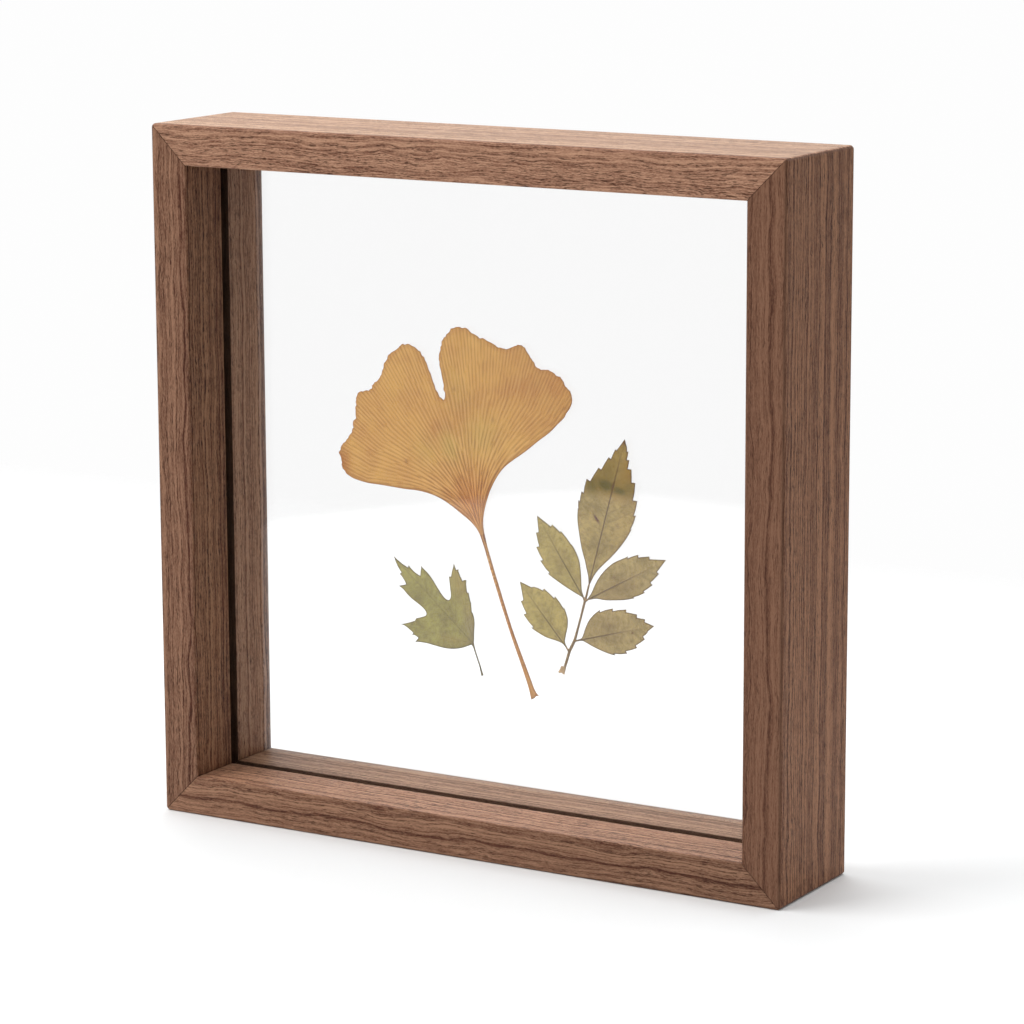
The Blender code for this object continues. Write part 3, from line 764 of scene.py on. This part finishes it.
warmer = {
    "ginkgo_leaf": [(-38, 31, 3, 4, 0, 0.8), (0, 9, 9, 9, 0, 1), (27, 28, 5, 6, -40, 0.12),
                    (0, -26, 3, 30, 0, 0.75), (38, 31, 4, 6, 0, 0.3)],
    "lobed_leaf": [(3.2, 3.8, 2.6, 4.5, -35, 0.6), (0, -4, 3, 4.5, 0, 1)],
    "tip_leaflet": [(3.6, 36, 3.4, 8, -12, 1), (-3, 36, 5, 8, 0, 0.6), (0, 28.4, 10, 3.2, 0, 0.95),
                    (6, 20, 3, 8, 0, 0.25)],
    "upper_right_leaflet": [(2, 9, 4, 9, 0, 0.5)],
    "lower_right_leaflet": [(-2, 10, 5, 9, 0, 0.3)],
    "upper_left_leaflet": [(1.5, 5, 3, 6, 0, 0.5), (-1, 15, 6, 10, 0, 0.3)],
    "lower_left_leaflet": [(1, 4.5, 3, 5, 0, 0.1)],
}


def patches(points, spots):
    value = np.zeros(len(points))
    for x, y, halfWide, halfLong, turn, strength in spots:
        a = math.radians(turn)
        dx, dy = points[:, 0] - x, points[:, 1] - y
        across = (dx * math.cos(a) + dy * math.sin(a)) / halfWide
        along = (dy * math.cos(a) - dx * math.sin(a)) / halfLong
        value = np.maximum(value, strength * np.exp(-(across ** 2 + along ** 2)))
    return value


def slowWave(points, length, seed):
    return np.array([noise.noise(Vector((x / length, y / length, seed))) for x, y in points])


def leafMesh(name, seed):
    outline = finerMargin(name, cadOutline(name))
    points = np.concatenate([outline, innerPoints(outline, leaves[name]["spacing"])])
    rim = len(outline)
    made = delaunay_2d_cdt([Vector(p) for p in points], [], [list(range(rim))], 1, 1e-6, True)
    flat = np.array([tuple(v) for v in made[0]])
    triangles = np.array([tuple(t) for t in made[2]])
    triangles = triangles[edgeDistance(flat[triangles].mean(1), outline) > 0].tolist()
    edge = np.maximum(edgeDistance(flat, outline), 0)
    edge[[i for i, source in enumerate(made[3]) if any(s < rim for s in source)]] = 0

    # thickness: blades are thin, stalks and the stem are rounder
    x, y = flat.T
    stalk = np.full(len(flat), 1.0 if name == "sprig_stem" else 0.0)
    if name in blade["stalkEnds"]:
        stalk = 1 - smoothStep(*blade["stalkEnds"][name], y)
    full = blade["thick"] + blade["stalkThick"] * stalk
    over = blade["roundOver"] + blade["stalkRound"] * stalk
    rounding = np.sqrt(np.clip(1 - (1 - np.clip(edge / over, 0, 1)) ** 2, 0, 1))
    half = blade["rimThick"] + (full - blade["rimThick"]) * rounding

    # relief: the blade's slow wave and the raised veins, to the front
    slow, quick = blade["waveLengths"]
    waves = slowWave(flat, slow, seed) + blade["quickShare"] * slowWave(flat, quick, seed + 9)
    relief = blade["wave"] * waves * (1 - stalk)
    zones = np.stack([patches(flat, kind.get(name, [])) for kind in (stains, greener, warmer)], 1)
    # fan and reach: the place in the ginkgo's fan; for the others, reach is the share of the length
    fan, reach = fanPlace(flat)
    if name == "ginkgo_leaf":
        depth = blade["fanVein"] * (1 - 0.7 * smoothStep(22, 40, reach)) * smoothStep(1, 6, y)
        relief += depth * (ginkgoRidge(fan, reach) - 0.5) * np.clip(edge / 0.5, 0, 1)
    else:
        reach = y / y.max()
        if name not in ("sprig_stem", "lobed_leaf"):
            height, halfWide = blade["midrib"]
            relief += height * np.exp(-(x / halfWide) ** 2) * np.clip(edge / 0.4, 0, 1)

    count = len(flat)
    front = np.stack([x, -half - relief, y], 1)
    back = np.stack([x, half - relief, y], 1)
    faces = [tuple(t) for t in triangles]
    faces += [(c + count, b + count, a + count) for a, b, c in triangles]
    sides = {}
    for a, b, c in triangles:
        for one, two in ((a, b), (b, c), (c, a)):
            if (two, one) in sides:
                del sides[(two, one)]
            else:
                sides[(one, two)] = True
    faces += [(two, one, one + count, two + count) for one, two in sides]
    mesh = bpy.data.meshes.new(name)
    mesh.from_pydata((np.concatenate([front, back]) * mm).tolist(), [], faces)
    storeOnMesh(mesh, edgeGap=np.tile(edge, 2), fan=np.tile(fan, 2), reach=np.tile(reach, 2),
                zones=np.tile(zones, (2, 1)))
    bm = bmesh.new()
    bm.from_mesh(mesh)
    if name == "sprig_stem":
        addStalks(bm)
    bmesh.ops.recalc_face_normals(bm, faces=bm.faces)
    bm.to_mesh(mesh)
    bm.free()
    mesh.shade_smooth()
    mesh.set_sharp_from_angle(angle=math.radians(60))
    return mesh


def addStalks(bm):
    for (x1, y1, radius1), (x2, y2, radius2) in leafletStalks:
        start, end = Vector((x1, 0, y1)) * mm, Vector((x2, 0, y2)) * mm
        way = end - start
        place = Matrix.Translation((start + end) / 2) @ way.to_track_quat("Z", "Y").to_matrix().to_4x4()
        bmesh.ops.create_cone(bm, cap_ends=True, segments=12, radius1=radius1 * mm, radius2=radius2 * mm,
                              depth=way.length, matrix=place)
    x, y, radius = stemNode
    place = Matrix.Translation(Vector((x, 0, y)) * mm) @ Matrix.Diagonal((1, 0.72, 1.1, 1))
    bmesh.ops.create_icosphere(bm, subdivisions=3, radius=radius * mm, matrix=place)


# Ginkgo, picked yellow and pressed dry: papery golden tan with fine raised veins that fan out and
# fork, the skin between them sunk and browner; matt, with a faint waxy sheen.
ginkgo = {
    "gold": "#e2ae5a", "tan": "#c88d47", "sunk": "#8f521a", "vein": "#ecbf7c", "footVein": "#d69242",
    "greenish": "#c1ac57", "reddish": "#ac5c00", "stain": "#84451a", "rim": "#8f4a00", "roughness": 0.62,
    "clouds": 22.2,          # mm, size of the broad mottling
    "mottle": 7.69,          # and of the finer
    "grain": 0.385,          # and of the skin's own unevenness
    "veinFade": (7, 30, 2.1, 0.66),        # contrast of the veins from this far out to that, mm
    "veinLight": (0, 0.9, 0, 0.58),        # share of the vein colour, low and high on a vein
    "veinSunk": (-0.15, -0.9, 0, 0.45),    # and of the sunk colour between the veins
    "narrowRim": (0.1, 0.36, 0.75, 0),     # rim colour's share from this far in to that, mm
    "softRim": (0.2, 1.6, 0.22, 0),
    "stalkRim": 0.65,        # and how much of it the stalk has
}


def ginkgoMaterial():
    material, tree, shader = startMaterial("ginkgo leaf, pressed dry", Roughness=ginkgo["roughness"],
                                           IOR=1.42, Specular_IOR_Level=0.2)
    own = addNode(tree, "TexCoord").outputs["Object"]
    fan, reach = stored(tree, "fan"), stored(tree, "reach")
    # the same veins as in the mesh, drawn sharper
    uneven = reach
    for amount, quick, start in forkWaves:
        sine = addMath(tree, "SINE", addMath(tree, "MULTIPLY_ADD", fan, quick, start))
        uneven = addMath(tree, "MULTIPLY_ADD", sine, amount, uneven)
    # and as no two veins are alike, finer lines of a noise run outwards along with them
    outward = multiply(tree, reach, 0.1)
    for start, count in ginkgoVeins:
        wave = addMath(tree, "COSINE", multiply(tree, fan, count * math.pi))
        apart = addMath(tree, "MULTIPLY_ADD", fan, count * 1.1, count * 3.7)
        streakPlace = addNode(tree, "CombineXYZ", {0: apart, 1: outward})
        streak = addNoise(tree, streakPlace, 2, 0.7)
        both = addMath(tree, "MULTIPLY_ADD", wave, 0.72, addRange(tree, streak, 0.3, 0.7, -0.7, 0.7))
        if start:
            share = addRange(tree, uneven, start - veinFork, start + veinFork,
                             interpolation_type="SMOOTHSTEP")
            both = addNode(tree, "Mix", {0: share, 2: line, 3: both})
        line = both
    # colour: mottled gold and tan, veins lighter, the skin between them darker, weaker far out
    mottle = addNoise(tree, own, 4, 0.6, size=ginkgo["mottle"])
    clouds = addNoise(tree, own, 2, size=ginkgo["clouds"])
    share = addRange(tree, addMath(tree, "ADD", mottle, clouds), 0.72, 1.24)
    skin = blend(tree, share, ginkgo["tan"], ginkgo["gold"])
    stain, green, warm = split(tree, stored(tree, "zones", "Vector"))
    skin = blend(tree, multiply(tree, green, 0.75), skin, ginkgo["greenish"])
    warm = multiply(tree, warm, 0.8)
    skin = blend(tree, warm, skin, ginkgo["reddish"])
    fade = addRange(tree, reach, *ginkgo["veinFade"])
    light = multiply(tree, addRange(tree, line, *ginkgo["veinLight"]), fade, use_clamp=True)
    sunk = multiply(tree, addRange(tree, line, *ginkgo["veinSunk"]), fade, use_clamp=True)
    skin = blend(tree, light, skin, blend(tree, warm, ginkgo["vein"], ginkgo["footVein"]))
    skin = blend(tree, sunk, skin, ginkgo["sunk"])
    skin = blend(tree, stain, skin, ginkgo["stain"])
    # a narrow browned rim, weaker on the stalk
    gap = stored(tree, "edgeGap")
    along = split(tree, own)["Z"]
    onBlade = addRange(tree, along, -1 * mm, 5 * mm, ginkgo["stalkRim"], 1.0)
    rim = addMath(tree, "MAXIMUM", addRange(tree, gap, *ginkgo["narrowRim"]),
                  addRange(tree, gap, *ginkgo["softRim"]))
    skin = blend(tree, multiply(tree, rim, onBlade), skin, ginkgo["rim"])
    height = addMath(tree, "MULTIPLY_ADD", line, 0.5, addNoise(tree, own, 2, size=ginkgo["grain"]))
    finishMaterial(tree, shader, skin, height, 0.6, 0.05)
    return material


# Green leaves, pressed dry: dull olive to khaki skin, finely mottled, with thin browner veins
# midrib: share of the length where it starts to fade and where it's faint; veinStep: mm from one side
# vein to the next
greenLeaf = {
    "lobed_leaf": {"light": "#a69b49", "dark": "#847732", "warm": "#8f7a64", "green": "#ab924a",
                   "vein": "#66561c", "rim": "#5c4a08", "stain": "#5c4028", "veinStep": 4.2},
    "tip leaflet": {"light": "#b99e5a", "dark": "#8d7635", "warm": "#a67d22", "green": "#635600",
                    "vein": "#563600", "rim": "#5e3c00", "stain": "#5a2300", "veinStep": 3.1,
                    "midrib": (0.66, 0.95)},
    "leaflet": {"light": "#b99f60", "dark": "#8e783b", "warm": "#8a6c36", "green": "#554a12",
                "vein": "#5c3e00", "rim": "#5e4200", "stain": "#5e2e0c", "veinStep": 3.1,
                "midrib": (0.3, 0.8)},
    "yellower leaflet": {"light": "#c1aa5b", "dark": "#9a863e", "warm": "#8f753a", "green": "#5f5722",
                         "vein": "#5c4600", "rim": "#604a00", "stain": "#5e3a12", "veinStep": 3.1,
                         "midrib": (0.4, 0.9)},
    "roughness": 0.7,
    "clouds": 7.69,          # mm, size of the broad mottling
    "mottle": 1.316,         # and of the finer
    "specks": 0.667,         # and of the small dark specks
    "speckShare": (0.58, 0.72, 0, 0.3),
    "midribFade": (0.13, 0.26, 1.05, 0),     # strength from this far off its middle to that, mm
    "sideVeins": (0, 0.07, 0.28, 0),         # the same, as shares of the step between side veins
    "sideLean": -0.85,       # how steeply they lean forward
    "sideWander": 1.6,       # mm that they wander
    "rimFade": (0.1, 0.4, 0.88, 0),          # rim colour's share from this far in to that, mm
}
# the lobed leaf's main veins, from the foot of the blade: (across, along) of the end of each
lobeVeins = ((0, 34), (12.4, 19), (-13, 20), (8.2, 8.2))


def lobeVein(tree, across, along, end):
    # a straight vein from the foot of the blade to its end, thinner towards the end
    length = math.hypot(*end)
    wayAcross, wayAlong = end[0] / length, end[1] / length
    side = addMath(tree, "MULTIPLY_ADD", along, -wayAcross, multiply(tree, across, wayAlong))
    out = addMath(tree, "MULTIPLY_ADD", across, wayAcross, multiply(tree, along, wayAlong))
    halfWidth = addRange(tree, out, 0.0, length, 0.18, 0.08)
    away = addMath(tree, "DIVIDE", addMath(tree, "ABSOLUTE", side), halfWidth)
    strength = addRange(tree, away, 0.5, 1.5, 0.6 if end[0] == 0 else 0.35, 0.0)
    return multiply(tree, strength, addMath(tree, "GREATER_THAN", out, 0.0))


def leafMaterial(kind):
    colours = greenLeaf[kind]
    material, tree, shader = startMaterial(kind + ", pressed dry", Roughness=greenLeaf["roughness"],
                                           IOR=1.42, Specular_IOR_Level=0.15)
    own = addNode(tree, "TexCoord").outputs["Object"]
    inMm = split(tree, addScaled(tree, own, (1 / mm, 1 / mm, 1 / mm)))
    across, along = inMm["X"], inMm["Z"]
    mottle = addNoise(tree, own, 3, 0.65, size=greenLeaf["mottle"])
    clouds = addNoise(tree, own, 2, size=greenLeaf["clouds"])
    share = addRange(tree, addMath(tree, "ADD", mottle, clouds), 0.82, 1.18)
    skin = blend(tree, share, colours["dark"], colours["light"])
    specks = addRange(tree, addNoise(tree, own, 1, size=greenLeaf["specks"]), *greenLeaf["speckShare"])
    skin = blend(tree, specks, skin, colours["stain"])
    stain, green, warm = split(tree, stored(tree, "zones", "Vector"))
    skin = blend(tree, multiply(tree, warm, 0.8), skin, colours["warm"])
    green = multiply(tree, green, addRange(tree, mottle, 0.3, 0.55, 0.7, 1.0))
    skin = blend(tree, green, skin, colours["green"])
    # veins: the main ones, and evenly spaced side veins that lean forward
    aside = addMath(tree, "ABSOLUTE", across)
    if kind == "lobed_leaf":
        veins = [lobeVein(tree, across, along, end) for end in lobeVeins]
    else:
        strong, faint = colours["midrib"]
        fading = addRange(tree, stored(tree, "reach"), strong, faint, 1.0, 0.15)
        veins = [multiply(tree, addRange(tree, aside, *greenLeaf["midribFade"]), fading)]
    step = colours["veinStep"]
    forward = addMath(tree, "MULTIPLY_ADD", aside, greenLeaf["sideLean"], along)
    forward = addMath(tree, "MULTIPLY_ADD", clouds, greenLeaf["sideWander"], forward)
    rightHalf = addMath(tree, "GREATER_THAN", across, 0.0)
    forward = addMath(tree, "MULTIPLY_ADD", rightHalf, step * 0.45, forward)
    phase = addMath(tree, "FRACT", addMath(tree, "DIVIDE", forward, step))
    offVein = addMath(tree, "ABSOLUTE", addMath(tree, "SUBTRACT", phase, 0.5))
    vein = addRange(tree, offVein, *greenLeaf["sideVeins"])
    for other in veins:
        vein = addMath(tree, "MAXIMUM", vein, other)
    skin = blend(tree, multiply(tree, vein, 0.8), skin, colours["vein"])
    skin = blend(tree, stain, skin, colours["stain"])
    rim = addRange(tree, stored(tree, "edgeGap"), *greenLeaf["rimFade"])
    skin = blend(tree, rim, skin, colours["rim"])
    finishMaterial(tree, shader, skin, addMath(tree, "MULTIPLY_ADD", vein, 0.8, mottle), 0.5, 0.06)
    return material


# Stem of the sprig, dried: thin grey-brown bark with fine lengthwise lines, paler where it tore
stem = {"bark": "#9f7a3c", "pale": "#d4ae80", "dark": "#5e420e", "roughness": 0.7}


def stemMaterial():
    material, tree, shader = startMaterial("twig, dried", Roughness=stem["roughness"], IOR=1.45)
    own = addNode(tree, "TexCoord").outputs["Object"]
    # lines about a quarter of a mm wide and ten times as long
    lines = addNoise(tree, addScaled(tree, own, (4200, 4200, 420)), 2)
    bark = blend(tree, addRange(tree, lines, 0.3, 0.7), stem["dark"], stem["bark"])
    along = split(tree, own)["Z"]
    torn = addRange(tree, along, 0.8 * mm, 3.2 * mm, 0.75, 0.0)
    finishMaterial(tree, shader, blend(tree, torn, bark, stem["pale"]), lines, 0.5, 0.05)
    return material


def makeLeaves():
    khaki, yellower = leafMaterial("leaflet"), leafMaterial("yellower leaflet")
    finishes = {
        "ginkgo_leaf": ginkgoMaterial(), "lobed_leaf": leafMaterial("lobed_leaf"),
        "sprig_stem": stemMaterial(), "tip_leaflet": leafMaterial("tip leaflet"),
        "upper_left_leaflet": yellower, "upper_right_leaflet": khaki,
        "lower_left_leaflet": yellower, "lower_right_leaflet": khaki,
    }
    for seed, (name, shape) in enumerate(leaves.items()):
        mesh = leafMesh(name, seed * 7.3)
        footX, footZ = shape["foot"]
        addPiece("pressed_" + name, mesh, finishes[name], name,
                 (footX * mm, 0, footZ * mm), 90 - shape["axis"])
        print(name + ":", len(mesh.polygons), "faces")


makeCamera()
makeStudio()
makeRails()
makeGlass()
makeLeaves()

bpy.context.view_layer.update()
